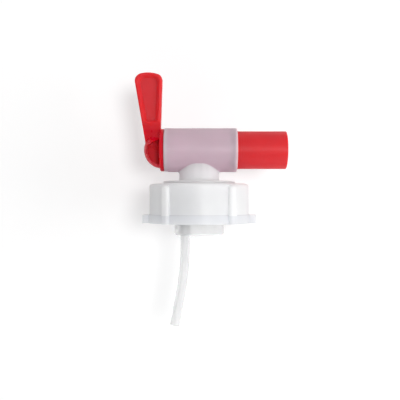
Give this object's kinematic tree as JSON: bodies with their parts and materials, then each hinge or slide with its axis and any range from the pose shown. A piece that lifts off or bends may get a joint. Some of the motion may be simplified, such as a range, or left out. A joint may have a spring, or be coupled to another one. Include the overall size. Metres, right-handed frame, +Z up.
{
  "type": "jerrycan barrel tap",
  "caption": "Dispensing tap for a jerrycan: a quarter-turn plug with lever and spout turns in a barrel that swivels on a screw cap, with a vent tube below.",
  "frame": {"origin": "centre of the screw cap's lower rim, where the container's neck enters", "axes": "+Z up the cap's axis towards the barrel, +X along the barrel towards the spout, +Y to the back, where the lever swings to open"},
  "size_m": [0.0889, 0.0592, 0.1489],
  "materials": {
    "natural_plastic": "natural translucent polyethylene, satin",
    "barrel_plastic": "natural translucent polyethylene, satin, thin wall",
    "red_plastic": "opaque red moulding, soft sheen",
    "gasket_foam": "closed-cell foam, dull white",
    "tube_plastic": "natural translucent polyethylene tube, satin"
  },
  "bodies": {
    "cap": {"screw_cap": "natural_plastic"},
    "tap": {"tap_body": "barrel_plastic", "neck_gasket": "gasket_foam", "vent_tube": "tube_plastic"},
    "plug": {"lever_plug": "red_plastic"}
  },
  "joints": [
    {"name": "cap_swivel", "type": "hinge", "parent": "cap", "child": "tap", "pos_m": [0, 0, 0.0219], "axis": [0, 0, 1], "continuous": true},
    {"name": "lever_turn", "type": "hinge", "parent": "tap", "child": "plug", "pos_m": [0, 0, 0.04285], "axis": [-1, 0, 0], "range_deg": [0, 90]}
  ]
}
